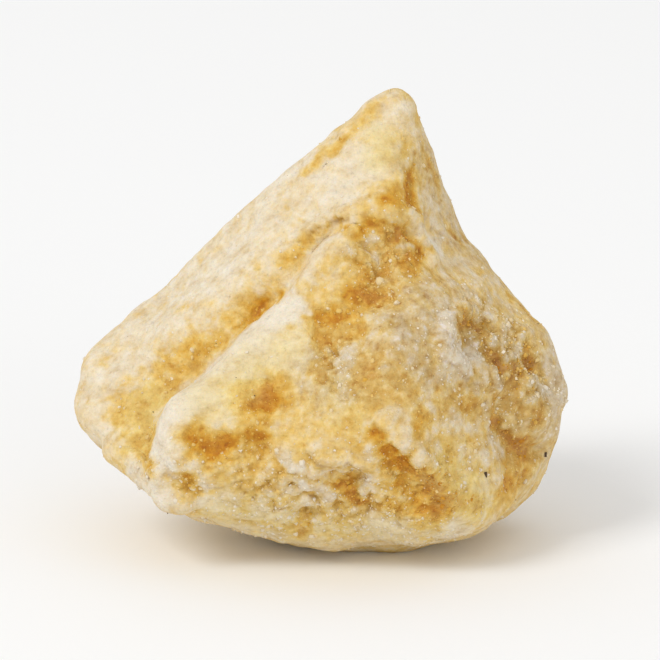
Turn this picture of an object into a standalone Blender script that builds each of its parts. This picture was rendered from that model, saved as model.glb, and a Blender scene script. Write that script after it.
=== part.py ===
"""Jaggery block: one broken lump of block jaggery, resting on its flat underside.

Lengths are in millimetres until the finished mesh is scaled to metres.
+X is the right of the block, -Y its front and +Z is up. Directions are given
as seen from the heart, a point inside the block: azimuth 0 looks to the front,
-90 to the left, 90 to the right and 180 to the back, and slope is the angle
above the horizontal.
"""
import bpy
import bmesh
import numpy as np
from mathutils import Matrix, Vector

NAME = "jaggery_block"
MM = 0.001

# Driving dimensions: width, depth and height of the whole block.
SIZE = (66.0, 50.0, 61.5)
HEART = np.array([0.0, 0.0, 24.0])

# Mesh: the cube's edges start with this many faces and double at each refining.
COARSE_FACES = 7
REFININGS = 2
SETTLE_ROUNDS = 8
SOLVE_STEPS = 30
FAR = 60.0

# The lump is bounded by broken faces: (azimuth, slope, reach from the heart).
EDGE_ROUNDING = 1.3
CORE_FACES = {
    "left_slope": (-50, 38, 18.9),
    "front": (-13, 29, 16.4),
    "peak_right": (62, 17, 19.7),
    "tip": (-5, 77, 40.0),
    "back_left": (-140, 38, 20.2),
    "back_right": (131, 19, 22.8),
    "back": (172, 14, 23.0),
    "back_low_left": (-128, -12, 28.0),
    "back_low_right": (140, -20, 27.5),
    "back_under": (192, -42, 27.5),
    "left_nose": (-90, 0, 33.8),
    "left_under": (-76, -43, 28.9),
    "left_keel": (-50, -67, 24.1),
    "left_back_keel": (-110, -58, 25.2),
    "front_under": (-3, -26, 22.4),
    "front_keel": (5, -56, 24.8),
    "right_keel": (62, -64, 27.1),
    "right_under": (71, -40, 31.8),
}

# The shoulder swells out of the lump at the right, below the steep side of the peak.
SHOULDER_ROUNDING = 1.6
SHOULDER_BLEND = 4.5
SHOULDER_FACES = {
    "front_right": (43, 7, 23.8),
    "top": (55, 47, 21.8),
    "right": (90, 0, 35.2),
    "under": (71, -40, 31.8),
    "keel": (62, -64, 27.1),
    "front": (-13, 29, 16.0),
    "front_under": (-3, -26, 22.4),
    "front_keel": (5, -56, 24.8),
    "back_right": (128, -4, 26.5),
    "back": (168, 10, 19.0),
    "back_under": (170, -45, 26.0),
    "top_back": (135, 48, 20.5),
    "inner": (-80, -15, -2.0),
    "cap": (-60, 60, 8.0),
}

# Grooves, ribs and hollows, each drawn through points that are pulled onto the surface:
# (rise at the start and end, half width at the start and end, crease, points).
# A crease near 1 is sharp along its middle and 2 is round.
STROKES = {
    "trough": ((-0.9, -2.6), (1.9, 6.0), 1.6,
               [(2, -8, 46), (-5, -10, 38), (-14, -12, 29), (-23.5, -12, 21), (-24.5, -15, 17)]),
    "trough_side": ((-0.8, -1.8), (3.0, 9.0), 2.0,
                    [(-8, -9, 35), (-17, -9, 27), (-25, -9, 21), (-27, -13, 14)]),
    "lobe_crest": ((0.9, 0.8), (1.8, 5.0), 1.8,
                   [(4, -9, 44), (-5, -12, 35), (-11, -13, 30), (-18, -15.5, 21.5), (-18.5, -17.5, 16.5)]),
    "lobe_belly": ((0.5, 2.0), (4.0, 8.5), 2.0,
                   [(1, -14, 36), (-7, -15, 28), (-13.5, -17, 20)]),
    "bottom_lip": ((1.8, 1.2), (3.4, 3.0), 2.0,
                   [(-28, -9, 13.5), (-24, -13, 11.5), (-19, -16.5, 10)]),
    "ledge": ((0.5, 1.1), (1.8, 2.4), 1.8,
              [(-2, -8, 44.8), (3, -7.5, 47.8), (9, -8, 47.6), (13, -6, 46)]),
    "hollow": ((-1.9, -1.4), (5.0, 4.5), 2.0,
               [(8, -12, 42), (8, -13, 37.5)]),
    "right_valley": ((-0.9, -1.3), (2.2, 2.2), 1.5,
                     [(24.5, -11, 22), (23.5, -12, 18.5), (26.5, -10, 14.5), (30, -6, 13.5)]),
    "right_lobe": ((0.9, 1.1), (3.0, 3.2), 2.0,
                   [(27, -8, 23), (29, -7, 18.5)]),
    "diagonal": ((1.0, 1.3), (2.6, 3.0), 1.6,
                 [(8.5, -22, 22.5), (12.7, -22, 17.5), (17, -20, 12.5)]),
    "under_facet": ((-1.6, -2.0), (3.6, 4.6), 2.0,
                    [(8.5, -22, 17.5), (12, -21, 12)]),
    "arc_pit": ((-1.5, -1.5), (2.6, 2.4), 1.8,
                [(1.6, -21, 14.5), (4.5, -21, 14.2)]),
    "lobe_notch": ((-1.4, -1.2), (3.0, 3.8), 2.0,
                   [(-16, -18, 18.5), (-8, -20, 17.5)]),
    "left_dip": ((-1.6, -0.9), (7.0, 5.0), 2.0,
                 [(-20, 1, 33), (-11, -2, 42)]),
    "back_scoop": ((-2.2, -1.6), (11.0, 8.0), 2.0,
                   [(-13, 14, 34), (-4, 12, 44)]),
    "back_shelf": ((1.3, 1.0), (2.8, 3.0), 1.6,
                   [(-24, 10, 22), (-8, 22, 27), (10, 20, 29), (22, 12, 27)]),
    "back_groove": ((-1.6, -1.2), (3.4, 2.8), 1.8,
                    [(-22, 14, 17), (-6, 24, 21.5), (10, 22, 24), (20, 14, 22)]),
    "back_rib": ((1.0, 1.2), (2.2, 4.5), 1.8,
                 [(10, 5, 54), (9, 11, 44), (3, 17, 34)]),
    "back_cleft": ((-1.2, -1.6), (2.4, 3.0), 1.6,
                   [(15, 9, 42), (20, 12, 32), (21, 15, 22)]),
    "left_under_dip": ((-1.2, -1.2), (4.5, 4.5), 2.0,
                       [(-29, 2, 14), (-23, 12, 13)]),
    "right_back_dip": ((-1.2, -1.6), (4.0, 5.0), 2.0,
                       [(31, 2, 22), (26, 10, 14)]),
}

# Uneven relief of the broken surface: (grain size, height).
RELIEF = ((11.0, 0.8), (6.0, 0.5), (3.4, 0.3))
RELIEF_SEED = 3

# Points this near the underside's plane are laid on it, and the carving fades out this high
# above it, so that the rim of the foot stays clean.
FOOT_SNAP = 0.25
FOOT_FADE = 2.0


def clear_scene():
    for old in list(bpy.data.objects):
        bpy.data.objects.remove(old)


def unit(azimuth, slope):
    """The direction of an azimuth and a slope, both in degrees."""
    turn, lift = np.radians(azimuth), np.radians(slope)
    return np.array([np.sin(turn) * np.cos(lift), -np.cos(turn) * np.cos(lift), np.sin(lift)])


def soft_max(values, rounding):
    """The largest value, blended over the rounding where two are nearly equal."""
    top = values.max(axis=0)
    return top + rounding * np.log(np.exp((values - top) / rounding).sum(axis=0))


def faces_field(points, faces, rounding):
    """Distance outside a body bounded by flat faces, with rounded edges."""
    normals = np.array([unit(azimuth, slope) for azimuth, slope, _ in faces.values()])
    reaches = np.array([reach for _, _, reach in faces.values()])
    return soft_max(((points - HEART) @ normals.T - reaches).T, rounding)


def body_field(points):
    """Distance outside the core and its shoulder, joined by a smooth fillet."""
    core = faces_field(points, CORE_FACES, EDGE_ROUNDING)
    shoulder = faces_field(points, SHOULDER_FACES, SHOULDER_ROUNDING)
    share = np.clip(0.5 + 0.5 * (shoulder - core) / SHOULDER_BLEND, 0.0, 1.0)
    joined = shoulder * (1.0 - share) + core * share
    return joined - SHOULDER_BLEND * share * (1.0 - share)


def pull_to_body(points):
    """Each point moved along its line from the heart until it lies on the body."""
    directions = points - HEART
    directions = directions / np.linalg.norm(directions, axis=1, keepdims=True)
    near = np.zeros(len(points))
    far = np.full(len(points), FAR)
    for _ in range(SOLVE_STEPS):
        middle = (near + far) / 2.0
        inside = body_field(HEART + directions * middle[:, None]) < 0.0
        near = np.where(inside, middle, near)
        far = np.where(inside, far, middle)
    return HEART + directions * near[:, None]


def stroke_rise(points, rises, widths, crease, path):
    """Height of one groove or rib at each point, from its distance to the path."""
    path = pull_to_body(np.array(path, dtype=float))
    legs = len(path) - 1
    rise = np.zeros(len(points))
    strongest = np.zeros(len(points))
    for leg in range(legs):
        start, run = path[leg], path[leg + 1] - path[leg]
        along = np.clip((points - start) @ run / (run @ run), 0.0, 1.0)
        distance = np.linalg.norm(points - start - along[:, None] * run, axis=1)
        progress = (leg + along) / legs
        width = widths[0] + (widths[1] - widths[0]) * progress
        height = rises[0] + (rises[1] - rises[0]) * progress
        strength = np.clip(1.0 - (distance / width) ** crease, 0.0, 1.0) ** 2
        rise = np.where(strength > strongest, height * strength, rise)
        strongest = np.maximum(strength, strongest)
    return rise


def lattice_hash(cell, seed):
    """A repeatable whole number for each lattice cell."""
    mask = 0xFFFFFFFF
    mixed = (cell @ np.array([374761393, 668265263, 1274126177]) + seed * 974634777) & mask
    mixed = ((mixed ^ (mixed >> 13)) * 1274126177) & mask
    return mixed ^ (mixed >> 16)


def gradient_noise(points, size, seed):
    """Smooth noise of about -1 to 1 whose bumps are one size apart."""
    scaled = points / size
    cell = np.floor(scaled).astype(np.int64)
    inside = scaled - cell
    fade = inside ** 3 * (inside * (inside * 6.0 - 15.0) + 10.0)
    total = np.zeros(len(points))
    for corner in np.ndindex(2, 2, 2):
        number = lattice_hash(cell + np.array(corner), seed)
        turn = (number & 0xFFFF) / 0xFFFF * 2.0 * np.pi
        lift = ((number >> 16) & 0xFFFF) / 0xFFFF * 2.0 - 1.0
        flat = np.sqrt(np.clip(1.0 - lift ** 2, 0.0, 1.0))
        gradient = np.stack([flat * np.cos(turn), flat * np.sin(turn), lift], axis=1)
        weight = np.where(np.array(corner), fade, 1.0 - fade).prod(axis=1)
        total += weight * (gradient * (inside - corner)).sum(axis=1)
    return total * 1.6


def relief_rise(points):
    """The uneven relief: noise of several grain sizes, added up."""
    total = np.zeros(len(points))
    for layer, (size, height) in enumerate(RELIEF):
        total += height * gradient_noise(points, size, RELIEF_SEED + layer)
    return total


def read_points(bm):
    return np.array([vert.co[:] for vert in bm.verts])


def write_points(bm, points):
    for vert, point in zip(bm.verts, points):
        vert.co = Vector(point)


def raise_surface(bm, rise):
    """Each point moved outward along its normal by its own rise, less and less near the foot."""
    bm.normal_update()
    for vert, height in zip(bm.verts, rise):
        fade = min(max(vert.co.z / FOOT_FADE, 0.0), 1.0)
        vert.co += vert.normal * float(height) * fade


def settle(bm):
    """Evens the points out over the body without leaving it."""
    for _ in range(SETTLE_ROUNDS):
        bmesh.ops.smooth_vert(bm, verts=bm.verts[:], factor=0.5,
                              use_axis_x=True, use_axis_y=True, use_axis_z=True)
        write_points(bm, pull_to_body(read_points(bm)))


def make_body(bm):
    """A divided cube pulled onto the body, with its faces settled at each refining."""
    bmesh.ops.create_cube(bm, size=2.0, matrix=Matrix.Translation(Vector(HEART)))
    bmesh.ops.subdivide_edges(bm, edges=bm.edges[:], cuts=COARSE_FACES - 1, use_grid_fill=True)
    settle(bm)
    for _ in range(REFININGS):
        bmesh.ops.subdivide_edges(bm, edges=bm.edges[:], cuts=1, use_grid_fill=True)
        settle(bm)


def carve(bm):
    """The grooves, ribs and hollows, then the relief on top of them."""
    points = read_points(bm)
    raise_surface(bm, sum(stroke_rise(points, *stroke) for stroke in STROKES.values()))
    raise_surface(bm, relief_rise(read_points(bm)))


def cut_foot(bm):
    """The flat underside that the block rests on, cut at height zero."""
    bmesh.ops.bisect_plane(bm, geom=bm.verts[:] + bm.edges[:] + bm.faces[:], dist=FOOT_SNAP,
                           plane_co=(0.0, 0.0, 0.0), plane_no=(0.0, 0.0, -1.0), clear_outer=True)
    for vert in bm.verts:
        if abs(vert.co.z) <= FOOT_SNAP:
            vert.co.z = 0.0
    rim = [edge for edge in bm.edges if edge.is_boundary]
    bmesh.ops.holes_fill(bm, edges=rim, sides=0)


def fit_to_size(bm):
    """Stretches the block to its driving dimensions and centres it over the origin."""
    points = read_points(bm)
    low, high = points.min(axis=0), points.max(axis=0)
    middle = (low + high) / 2.0
    middle[2] = low[2]
    write_points(bm, (points - middle) * np.array(SIZE) / (high - low))


def jaggery_material():
    material = bpy.data.materials.new("jaggery")
    material.use_nodes = True
    shader = material.node_tree.nodes["Principled BSDF"]
    shader.inputs["Base Color"].default_value = (0.66, 0.47, 0.22, 1.0)
    shader.inputs["Roughness"].default_value = 0.62
    shader.inputs["Metallic"].default_value = 0.0
    return material


def make_block():
    bm = bmesh.new()
    make_body(bm)
    carve(bm)
    cut_foot(bm)
    fit_to_size(bm)
    bmesh.ops.scale(bm, vec=(MM, MM, MM), verts=bm.verts)
    bmesh.ops.recalc_face_normals(bm, faces=bm.faces)
    mesh = bpy.data.meshes.new(NAME)
    bm.to_mesh(mesh)
    bm.free()
    mesh.shade_smooth()
    mesh.set_sharp_from_angle(angle=np.radians(50.0))
    mesh.materials.append(jaggery_material())
    return bpy.data.objects.new(NAME, mesh)


def main():
    clear_scene()
    collection = bpy.data.collections.new(NAME)
    bpy.context.scene.collection.children.link(collection)
    collection.objects.link(make_block())


main()
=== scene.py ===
import bpy
import numpy as np
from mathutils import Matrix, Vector


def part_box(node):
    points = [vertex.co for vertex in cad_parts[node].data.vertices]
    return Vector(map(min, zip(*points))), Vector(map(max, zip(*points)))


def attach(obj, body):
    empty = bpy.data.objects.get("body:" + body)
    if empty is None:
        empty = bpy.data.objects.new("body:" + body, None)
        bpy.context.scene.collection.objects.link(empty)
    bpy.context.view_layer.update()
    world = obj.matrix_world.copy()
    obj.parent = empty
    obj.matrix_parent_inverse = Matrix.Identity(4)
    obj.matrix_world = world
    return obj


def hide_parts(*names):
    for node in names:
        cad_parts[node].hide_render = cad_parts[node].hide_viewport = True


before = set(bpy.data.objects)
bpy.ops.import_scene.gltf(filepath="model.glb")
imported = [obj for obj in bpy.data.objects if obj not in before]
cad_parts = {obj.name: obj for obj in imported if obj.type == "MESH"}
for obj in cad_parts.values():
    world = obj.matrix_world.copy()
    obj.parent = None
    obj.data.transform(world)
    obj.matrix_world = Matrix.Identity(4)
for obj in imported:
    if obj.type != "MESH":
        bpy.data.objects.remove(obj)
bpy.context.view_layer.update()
mm = 0.001
print("frame loaded:", ", ".join(sorted(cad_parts)))


# The lump. Lengths are millimetres. Directions are seen from the heart, a point inside the lump:
# azimuth 0 looks to the front, -90 left, 90 right and 180 back; slope is the angle above the horizontal.
lump = {
    "heart": (0.0, 0.0, 24.0),
    "edgeRounding": 1.3,
    "faces": {  # azimuth, slope and reach from the heart of each broken face
        "leftSlope": (-50, 38, 18.9),
        "front": (-13, 29, 16.4),
        "peakRight": (62, 17, 19.7),
        "tip": (-5, 77, 40.0),
        "backLeft": (-140, 38, 20.2),
        "backRight": (131, 19, 22.8),
        "back": (172, 14, 23.0),
        "backLowLeft": (-128, -12, 28.0),
        "backLowRight": (140, -20, 27.5),
        "backUnder": (192, -42, 27.5),
        "leftNose": (-90, 0, 33.8),
        "leftUnder": (-76, -43, 28.9),
        "leftKeel": (-50, -67, 24.1),
        "leftBackKeel": (-110, -58, 25.2),
        "frontUnder": (-3, -26, 22.4),
        "frontKeel": (5, -56, 24.8),
        "rightKeel": (62, -64, 27.1),
        "rightUnder": (71, -40, 31.8),
    },
    "shoulderRounding": 1.6,
    "shoulderBlend": 4.5,
    "shoulder": {  # the swelling at the right, below the steep side of the peak
        "frontRight": (43, 7, 23.8),
        "top": (55, 47, 21.8),
        "right": (90, 0, 35.2),
        "under": (71, -40, 31.8),
        "keel": (62, -64, 27.1),
        "front": (-13, 29, 16.0),
        "frontUnder": (-3, -26, 22.4),
        "frontKeel": (5, -56, 24.8),
        "backRight": (128, -4, 26.5),
        "back": (168, 10, 19.0),
        "backUnder": (170, -45, 26.0),
        "topBack": (135, 48, 20.5),
        "inner": (-80, -15, -2.0),
        "cap": (-60, 60, 8.0),
    },
    "coarseSide": 31,    # grid squares along each side of the cube that the lump is drawn from
    "fineness": 4,       # each of those is divided this many times
    "settleRounds": 26,
    "solveSteps": 26,
    "far": 60.0,
    "footFade": 2.0,     # carving dies away this close to the underside
}
heart = np.array(lump["heart"])


def unitVectors(vectors):
    return vectors / np.linalg.norm(vectors, axis=-1, keepdims=True)


def aim(azimuth, slope):
    # direction = (sin azimuth, -cos azimuth, 0) tilted up by the slope
    turn, lift = np.radians(azimuth), np.radians(slope)
    return np.array([np.sin(turn) * np.cos(lift), -np.cos(turn) * np.cos(lift), np.sin(lift)])


def facesField(points, faces, rounding):
    # distance past each flat face, joined as rounding * log(sum(exp(distance / rounding))),
    # which is the largest distance with its edges rounded
    normals = np.array([aim(azimuth, slope) for azimuth, slope, reach in faces.values()])
    reaches = np.array([reach for azimuth, slope, reach in faces.values()])
    past = ((points - heart) @ normals.T - reaches).T
    most = past.max(axis=0)
    return most + rounding * np.log(np.exp((past - most) / rounding).sum(axis=0))


def lumpField(points):
    # the smaller of core and shoulder, blended by the square of how close the two are
    core = facesField(points, lump["faces"], lump["edgeRounding"])
    shoulder = facesField(points, lump["shoulder"], lump["shoulderRounding"])
    share = np.clip(0.5 + 0.5 * (shoulder - core) / lump["shoulderBlend"], 0.0, 1.0)
    joined = shoulder * (1.0 - share) + core * share
    return joined - lump["shoulderBlend"] * share * (1.0 - share)


def reachLump(directions):
    # each ray from the heart is halved again and again between inside and outside
    near = np.zeros(len(directions))
    far = np.full(len(directions), lump["far"])
    for step in range(lump["solveSteps"]):
        middle = (near + far) / 2.0
        inside = lumpField(heart + directions * middle[:, None]) < 0.0
        near = np.where(inside, middle, near)
        far = np.where(inside, far, middle)
    return heart + directions * near[:, None]


def faceAcross(points, faces):
    # the crossed diagonals of each face: its normal, twice as long as its area
    a, b, c, d = (points[faces[:, corner]] for corner in range(4))
    return np.cross(c - a, d - b)


def cubeGrid(side):
    # six square grids over a cube, equal angles apart, as one list of directions and its faces
    turns = np.tan(np.linspace(-np.pi / 4, np.pi / 4, side + 1))
    u, v = np.meshgrid(turns, turns, indexing="ij")
    one = np.ones_like(u)
    sides = [(one, u, v), (-one, -u, v), (-u, one, v), (u, -one, v), (-v, u, one), (v, u, -one)]
    points = unitVectors(np.array([np.stack(three, -1) for three in sides]))
    numbers = np.arange((side + 1) ** 2).reshape(side + 1, side + 1)
    square = np.stack([numbers[:-1, :-1], numbers[1:, :-1], numbers[1:, 1:], numbers[:-1, 1:]], -1)
    faces = (square.reshape(1, -1, 4) + np.arange(6)[:, None, None] * numbers.size).reshape(-1, 4)
    flat = points.reshape(-1, 3)
    kept, first, same = np.unique(np.round(flat, 6), axis=0, return_index=True, return_inverse=True)
    directions, faces = flat[first], same.reshape(-1)[faces]
    inward = (faceAcross(directions, faces) * directions[faces].mean(axis=1)).sum(axis=1) < 0.0
    faces[inward] = faces[inward, ::-1]
    return directions, faces, same.reshape(6, side + 1, side + 1), first


def neighbourMean(values, faces, count):
    # mean of the points at the other ends of each point's edges
    start, end = faces.reshape(-1), np.roll(faces, -1, axis=1).reshape(-1)
    share = np.bincount(start, minlength=count)[:, None]
    sums = [np.bincount(start, weights=values[end, axis], minlength=count) for axis in range(values.shape[1])]
    return np.stack(sums, -1) / share


def settledDirections():
    # a coarse grid is smoothed along the lump until its squares are even, then each square is divided
    directions, faces, sameCoarse, first = cubeGrid(lump["coarseSide"])
    for each in range(lump["settleRounds"]):
        points = reachLump(directions)
        directions = unitVectors((points + neighbourMean(points, faces, len(points))) / 2.0 - heart)
    coarse = directions[sameCoarse]
    side, parts = lump["coarseSide"], lump["fineness"]
    along = np.arange(side * parts + 1) / parts
    whole = np.minimum(along.astype(int), side - 1)
    rest = along - whole
    rows = coarse[:, whole] * (1 - rest)[None, :, None, None] + coarse[:, whole + 1] * rest[None, :, None, None]
    fine = rows[:, :, whole] * (1 - rest)[:, None] + rows[:, :, whole + 1] * rest[:, None]
    plain, faces, sameFine, first = cubeGrid(side * parts)
    return unitVectors(fine.reshape(-1, 3)[first]), faces


def surfaceNormals(points, faces):
    # the faces' normals by area, added up at their corners
    across = faceAcross(points, faces)
    sums = [np.bincount(faces.reshape(-1), weights=np.repeat(across[:, axis], 4), minlength=len(points))
            for axis in range(3)]
    return unitVectors(np.stack(sums, -1))


def scrambled(cells, seed):
    # a whole number of 32 bits for each cell of the lattice
    mask = 0xFFFFFFFF
    mixed = (cells @ np.array([374761393, 668265263, 1274126177]) + seed * 974634777) & mask
    mixed = ((mixed ^ (mixed >> 13)) * 1274126177) & mask
    return mixed ^ (mixed >> 16)


def noise(points, grain, seed):
    # gradient noise of about -1 to 1: every lattice corner has its own slope, faded into its neighbours
    scaled = points / grain
    cell = np.floor(scaled).astype(np.int64)
    inside = scaled - cell
    fade = inside ** 3 * (inside * (inside * 6.0 - 15.0) + 10.0)
    total = np.zeros(len(points))
    for corner in np.ndindex(2, 2, 2):
        mixed = scrambled(cell + np.array(corner), seed)
        turn = (mixed & 0xFFFF) / 0xFFFF * 2.0 * np.pi
        lift = ((mixed >> 16) & 0xFFFF) / 0xFFFF * 2.0 - 1.0
        flat = np.sqrt(np.clip(1.0 - lift ** 2, 0.0, 1.0))
        slope = np.stack([flat * np.cos(turn), flat * np.sin(turn), lift], axis=1)
        weight = np.where(np.array(corner), fade, 1.0 - fade).prod(axis=1)
        total += weight * (slope * (inside - corner)).sum(axis=1)
    return total * 1.6


def roundedGrains(points, grain, seed):
    # 1 - (distance to the nearest grain's middle / 0.8) squared: 1 on top of a grain, 0 in the gaps
    scaled = points / grain
    cell = np.floor(scaled).astype(np.int64)
    nearest = np.full(len(points), 9.0)
    for corner in np.ndindex(3, 3, 3):
        there = cell + np.array(corner) - 1
        mixed = scrambled(there, seed)
        middle = there + np.stack([mixed & 0x3FF, (mixed >> 10) & 0x3FF, (mixed >> 20) & 0x3FF], -1) / 0x3FF
        nearest = np.minimum(nearest, np.linalg.norm(scaled - middle, axis=1))
    return np.clip(1.0 - (nearest / 0.8) ** 2, 0.0, 1.0)


def wandered(points, distance, grain, seed):
    return points + distance * np.stack([noise(points, grain, seed + axis) for axis in range(3)], -1)


# Grooves, ribs and hollows: rise at start and end, half width at start and end, crease, and the points
# of the path. A crease near 1 is sharp along its middle and 2 is round.
strokes = {
    "trough": ((-0.9, -2.6), (1.9, 6.0), 1.6,
               [(2, -8, 46), (-5, -10, 38), (-14, -12, 29), (-23.5, -12, 21), (-24.5, -15, 17)]),
    "troughSide": ((-0.8, -1.8), (3.0, 9.0), 2.0,
                   [(-8, -9, 35), (-17, -9, 27), (-25, -9, 21), (-27, -13, 14)]),
    "lobeCrest": ((0.9, 0.8), (1.8, 5.0), 1.8,
                  [(4, -9, 44), (-5, -12, 35), (-11, -13, 30), (-18, -15.5, 21.5), (-18.5, -17.5, 16.5)]),
    "lobeBelly": ((0.5, 2.0), (4.0, 8.5), 2.0, [(1, -14, 36), (-7, -15, 28), (-13.5, -17, 20)]),
    "bottomLip": ((1.8, 1.2), (3.4, 3.0), 2.0, [(-28, -9, 13.5), (-24, -13, 11.5), (-19, -16.5, 10)]),
    "ledge": ((0.5, 1.1), (1.8, 2.4), 1.8,
              [(-2, -8, 44.8), (3, -7.5, 47.8), (9, -8, 47.6), (13, -6, 46)]),
    "hollow": ((-1.9, -1.4), (5.0, 4.5), 2.0, [(8, -12, 42), (8, -13, 37.5)]),
    "hollowRoof": ((-0.7, -1.1), (1.9, 1.9), 1.7, [(6.5, -9, 44.8), (11.5, -8, 44.3)]),
    "chunk": ((1.2, 1.0), (2.4, 2.2), 2.0, [(14, -7, 44), (16, -7, 42)]),
    "crescent": ((0.9, 0.9), (1.6, 2.6), 1.8,
                 [(19.5, -10, 34.5), (16.5, -14, 33), (15.5, -16, 30.5), (18, -15, 28)]),
    "crescentPit": ((-1.2, -1.0), (2.6, 2.0), 2.0, [(20, -11.5, 32), (20, -13, 30)]),
    "darkPitA": ((-1.3, -1.0), (2.2, 1.8), 2.0, [(22.5, -11, 29), (24, -10, 27)]),
    "darkPitB": ((-1.1, -1.0), (2.0, 1.8), 2.0, [(27, -7, 27.5), (28.5, -6, 25.5)]),
    "loopPit": ((-0.9, -0.7), (1.5, 1.3), 2.0, [(21.6, -9.1, 32.1), (23, -8, 31.4)]),
    "hollowFlake": ((0.7, 0.5), (1.1, 1.0), 1.6, [(4.8, -11, 43.5), (6.4, -11, 41), (5.5, -12.5, 39)]),
    "hollowPit": ((-0.9, -0.8), (1.5, 1.3), 1.8, [(9.5, -10, 44.2), (11.3, -10.6, 42.3)]),
    "arcPitLeft": ((-0.6, -0.6), (1.2, 1.1), 1.8, [(2, -20, 26.1), (3.2, -21, 24.9)]),
    "rightValley": ((-0.9, -1.3), (2.2, 2.2), 1.5,
                    [(24.5, -11, 22), (23.5, -12, 18.5), (26.5, -10, 14.5), (30, -6, 13.5)]),
    "rightLobe": ((0.9, 1.1), (3.0, 3.2), 2.0, [(27, -8, 23), (29, -7, 18.5)]),
    "disc": ((0.9, 0.9), (3.8, 3.8), 2.0, [(21, -15, 15.5), (22.5, -14, 13)]),
    "diagonal": ((0.8, 0.9), (2.6, 3.0), 1.6, [(8.5, -22, 22.5), (12.7, -22, 17.5), (17, -20, 12.5)]),
    "underFacet": ((-1.1, -1.3), (3.6, 4.6), 2.0, [(8.5, -22, 17.5), (12, -21, 12)]),
    "arcPit": ((-1.5, -1.5), (2.6, 2.4), 1.8, [(1.6, -21, 14.5), (4.5, -21, 14.2)]),
    "arcRoof": ((0.6, 0.6), (1.3, 1.3), 1.8, [(0, -22, 16.5), (3.5, -22, 17.3), (6.5, -22, 16)]),
    "lowPit": ((-1.0, -1.0), (1.5, 1.3), 2.0, [(-2, -18, 8.6), (-1, -18, 8.2)]),
    "ball": ((0.8, 0.8), (1.3, 1.2), 2.0, [(-3.2, -20.6, 15.5), (-3, -20.6, 15.2)]),
    "lobeNotch": ((-1.4, -1.2), (3.0, 3.8), 2.0, [(-16, -18, 18.5), (-8, -20, 17.5)]),
    "lobeDimple": ((-0.8, -0.8), (3.0, 3.0), 2.0, [(-8, -17, 24.5), (-6, -17, 23.5)]),
    "amberDip": ((-0.8, -0.8), (2.6, 2.8), 2.0, [(0, -14, 34), (1, -17, 30)]),
    "leftDip": ((-1.6, -0.9), (7.0, 5.0), 2.0, [(-20, 1, 33), (-11, -2, 42)]),
    "leftCorner": ((0.6, 0.6), (4.0, 4.0), 2.0, [(-28, 0, 28), (-30, 0, 24)]),
    "tipGroove": ((-0.5, -0.5), (1.4, 1.4), 1.6, [(6.5, -1.5, 57.5), (3, -2, 54), (-1, -3, 50.5)]),
    "peakPit": ((-0.35, -0.35), (1.8, 1.6), 2.0, [(12, -5, 50.5), (11.5, -6, 48.5)]),
    "backScoop": ((-2.2, -1.6), (11.0, 8.0), 2.0, [(-13, 14, 34), (-4, 12, 44)]),
    "backShelf": ((1.3, 1.0), (2.8, 3.0), 1.6, [(-24, 10, 22), (-8, 22, 27), (10, 20, 29), (22, 12, 27)]),
    "backGroove": ((-1.6, -1.2), (3.4, 2.8), 1.8,
                   [(-22, 14, 17), (-6, 24, 21.5), (10, 22, 24), (20, 14, 22)]),
    "backRib": ((1.0, 1.2), (2.2, 4.5), 1.8, [(10, 5, 54), (9, 11, 44), (3, 17, 34)]),
    "backCleft": ((-1.2, -1.6), (2.4, 3.0), 1.6, [(15, 9, 42), (20, 12, 32), (21, 15, 22)]),
    "backPitA": ((-1.4, -1.4), (2.8, 2.4), 2.0, [(-10, 24, 12), (-7, 25, 11)]),
    "backPitB": ((-1.2, -1.2), (2.0, 2.0), 2.0, [(12, 24, 14), (14, 23, 13)]),
    "leftUnderDip": ((-1.2, -1.2), (4.5, 4.5), 2.0, [(-29, 2, 14), (-23, 12, 13)]),
    "rightBackDip": ((-1.2, -1.6), (4.0, 5.0), 2.0, [(31, 2, 22), (26, 10, 14)]),
}
relief = {
    "grains": ((11.0, 0.8), (6.0, 0.52), (3.4, 0.38)),  # grain size and height of the broken surface
    "fineGrains": ((1.9, 0.20), (1.05, 0.12)),
    "crackDepth": 0.35,
    "crumbs": ((1.7, 0.42), (0.95, 0.30)),  # size and height of the rounded grains of a coarse break
    "seed": 3,
}


def smoothStep(low, high, value):
    share = np.clip((value - low) / (high - low), 0.0, 1.0)
    return share * share * (3.0 - 2.0 * share)


def pathNearness(points, path, widths):
    # 1 on the path, 0 at its half width and below 0 beyond, with how far along the path each point is
    legs = len(path) - 1
    nearness = np.full(len(points), -9.0)
    progress = np.zeros(len(points))
    for leg in range(legs):
        start, run = path[leg], path[leg + 1] - path[leg]
        along = np.clip((points - start) @ run / (run @ run), 0.0, 1.0)
        distance = np.linalg.norm(points - start - along[:, None] * run, axis=1)
        passed = (leg + along) / legs
        here = 1.0 - distance / (widths[0] + (widths[1] - widths[0]) * passed)
        progress = np.where(here > nearness, passed, progress)
        nearness = np.maximum(here, nearness)
    return nearness, progress


def strokeRise(points, rises, widths, crease, path):
    # rise * (1 - (distance / width) to the power crease) squared, 0 beyond the width
    path = reachLump(unitVectors(np.array(path, float) - heart))
    nearness, progress = pathNearness(points, path, widths)
    strength = np.clip(1.0 - np.clip(1.0 - nearness, 0.0, 2.0) ** crease, 0.0, 1.0) ** 2
    return (rises[0] + (rises[1] - rises[0]) * progress) * strength


def layeredNoise(points, grains, seed):
    return sum(height * noise(points, grain, seed + layer) for layer, (grain, height) in enumerate(grains))


def raised(points, faces, rise):
    # outward along the normals, less and less near the foot
    fade = np.clip(points[:, 2] / lump["footFade"], 0.0, 1.0)
    return points + surfaceNormals(points, faces) * (rise * fade)[:, None]


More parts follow.
